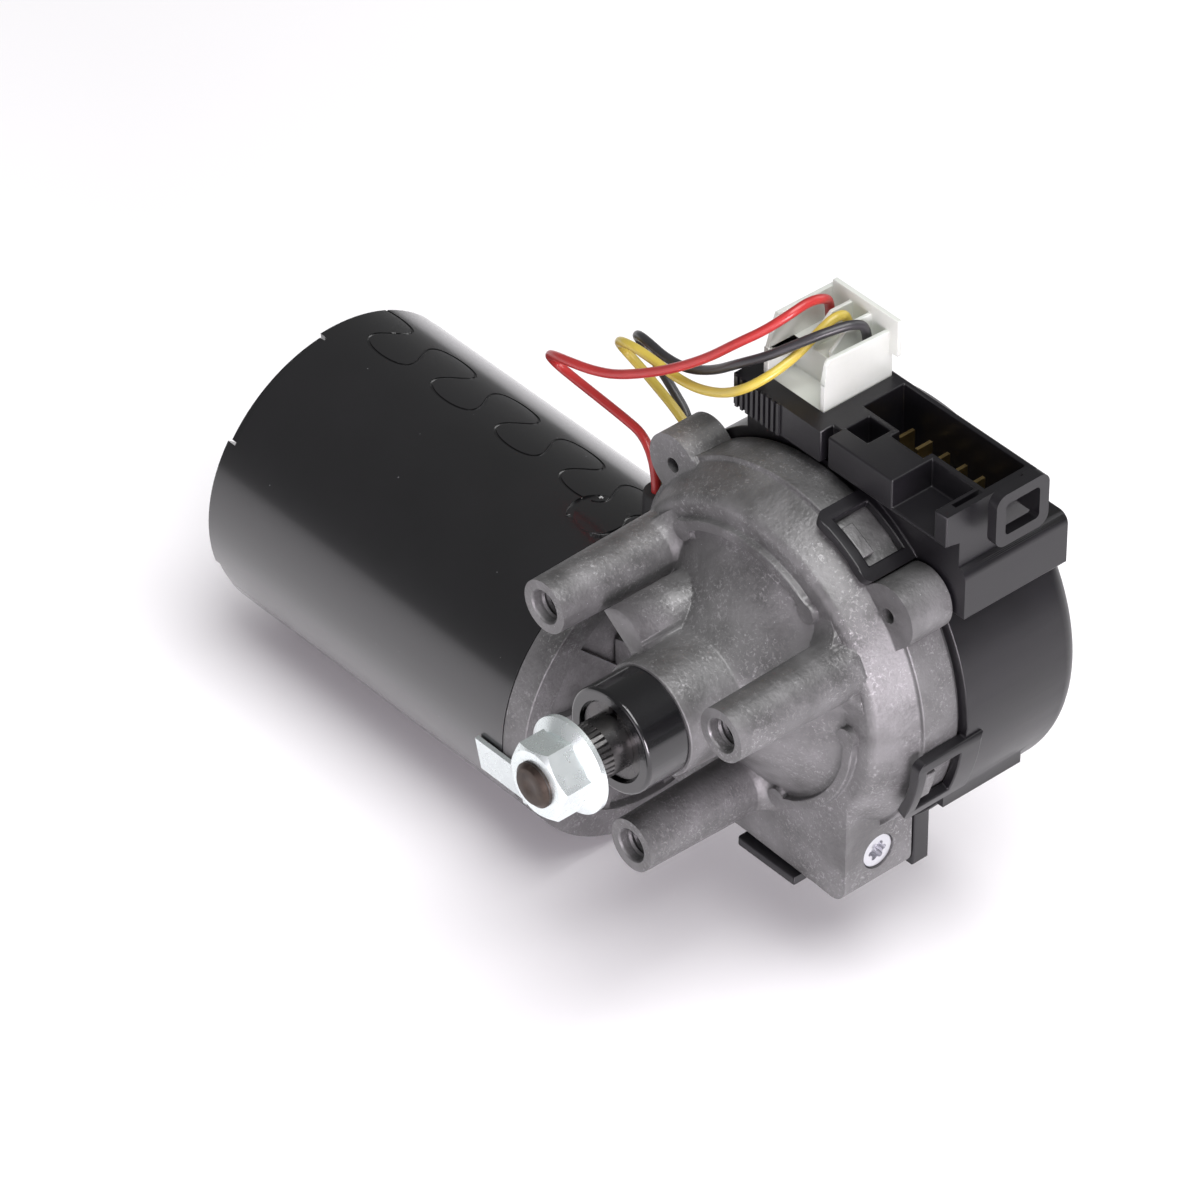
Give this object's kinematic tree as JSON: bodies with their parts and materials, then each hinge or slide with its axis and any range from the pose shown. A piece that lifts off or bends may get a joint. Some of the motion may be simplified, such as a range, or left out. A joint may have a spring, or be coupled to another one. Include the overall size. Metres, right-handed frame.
{
  "type": "wiper motor",
  "caption": "Electric windscreen wiper motor: black can, aluminium worm gearbox with an output shaft, threaded bosses, plastic rear cover, harness socket and wired plug.",
  "frame": {"origin": "centre of the three-boss circle on the boss end faces, on the output shaft's axis", "axes": "-Y along the output shaft towards its thread, +X along the motor from the can to the worm end, +Z towards the connectors"},
  "size_m": [0.1834, 0.1072, 0.1392],
  "materials": {
    "motor_can": "semi-gloss black paint",
    "can_end_plate": "semi-gloss black paint",
    "field_magnets": "sintered ferrite",
    "magnet_springs": "spring steel",
    "rear_bush": "sintered bronze",
    "front_bush": "sintered bronze",
    "worm_end_bush": "sintered bronze",
    "thrust_pad": "acetal",
    "thrust_screw": "zinc plate",
    "can_clips": "bright zinc plate",
    "brush_plate": "phenolic board",
    "brush_boxes": "pressed brass",
    "carbon_brushes": "copper graphite",
    "brush_springs": "spring steel",
    "choke_coils": "enamelled copper",
    "gear_housing": "matte die-cast, bead blasted",
    "output_bushes": "sintered bronze",
    "shaft_seal": "nitrile rubber",
    "thrust_washer": "ground steel",
    "shaft_cap": "gloss black plastic",
    "park_contacts": "spring bronze",
    "cover_gasket": "fibre and rubber",
    "gear_cover": "semi-matte black plastic",
    "socket_blades": "brass",
    "plug_housing": "natural nylon",
    "plug_pins": "brass",
    "wire_grommet": "black rubber",
    "wire_red": "red insulation",
    "wire_yellow": "yellow insulation",
    "wire_black": "black insulation",
    "armature_shaft": "rolled steel",
    "armature_core": "stacked laminations",
    "armature_windings": "enamelled copper",
    "commutator": "copper",
    "output_shaft": "blackened steel",
    "worm_wheel": "acetal",
    "park_disc": "copper sheet",
    "flange_nut": "bright zinc plate",
    "retaining_ring": "phosphated spring steel"
  },
  "bodies": {
    "motor_frame": {"motor_can": "motor_can", "can_end_plate": "can_end_plate", "field_magnets": "field_magnets", "magnet_springs": "magnet_springs", "rear_bush": "rear_bush", "front_bush": "front_bush", "worm_end_bush": "worm_end_bush", "thrust_pad": "thrust_pad", "thrust_screw": "thrust_screw", "can_clips": "can_clips", "brush_plate": "brush_plate", "brush_boxes": "brush_boxes", "carbon_brushes": "carbon_brushes", "brush_springs": "brush_springs", "choke_coils": "choke_coils", "gear_housing": "gear_housing", "output_bushes": "output_bushes", "shaft_seal": "shaft_seal", "thrust_washer": "thrust_washer", "shaft_cap": "shaft_cap", "park_contacts": "park_contacts", "cover_gasket": "cover_gasket", "gear_cover": "gear_cover", "socket_blades": "socket_blades", "plug_housing": "plug_housing", "plug_pins": "plug_pins", "wire_grommet": "wire_grommet", "wire_red": "wire_red", "wire_yellow": "wire_yellow", "wire_black": "wire_black"},
    "armature": {"armature_shaft": "armature_shaft", "armature_core": "armature_core", "armature_windings": "armature_windings", "commutator": "commutator"},
    "output": {"output_shaft": "output_shaft", "worm_wheel": "worm_wheel", "park_disc": "park_disc", "flange_nut": "flange_nut", "retaining_ring": "retaining_ring"}
  },
  "joints": [
    {"name": "armature_spin", "type": "hinge", "parent": "motor_frame", "child": "armature", "pos_m": [0, 0.04, -0.0355], "axis": [1, 0, 0], "continuous": true},
    {"name": "output_spin", "type": "hinge", "parent": "motor_frame", "child": "output", "pos_m": [0, 0, 0], "axis": [0, 1, 0], "continuous": true}
  ],
  "couplings": [
    {"joint": "output_spin", "follows": "armature_spin", "ratio": 0.020833}
  ]
}
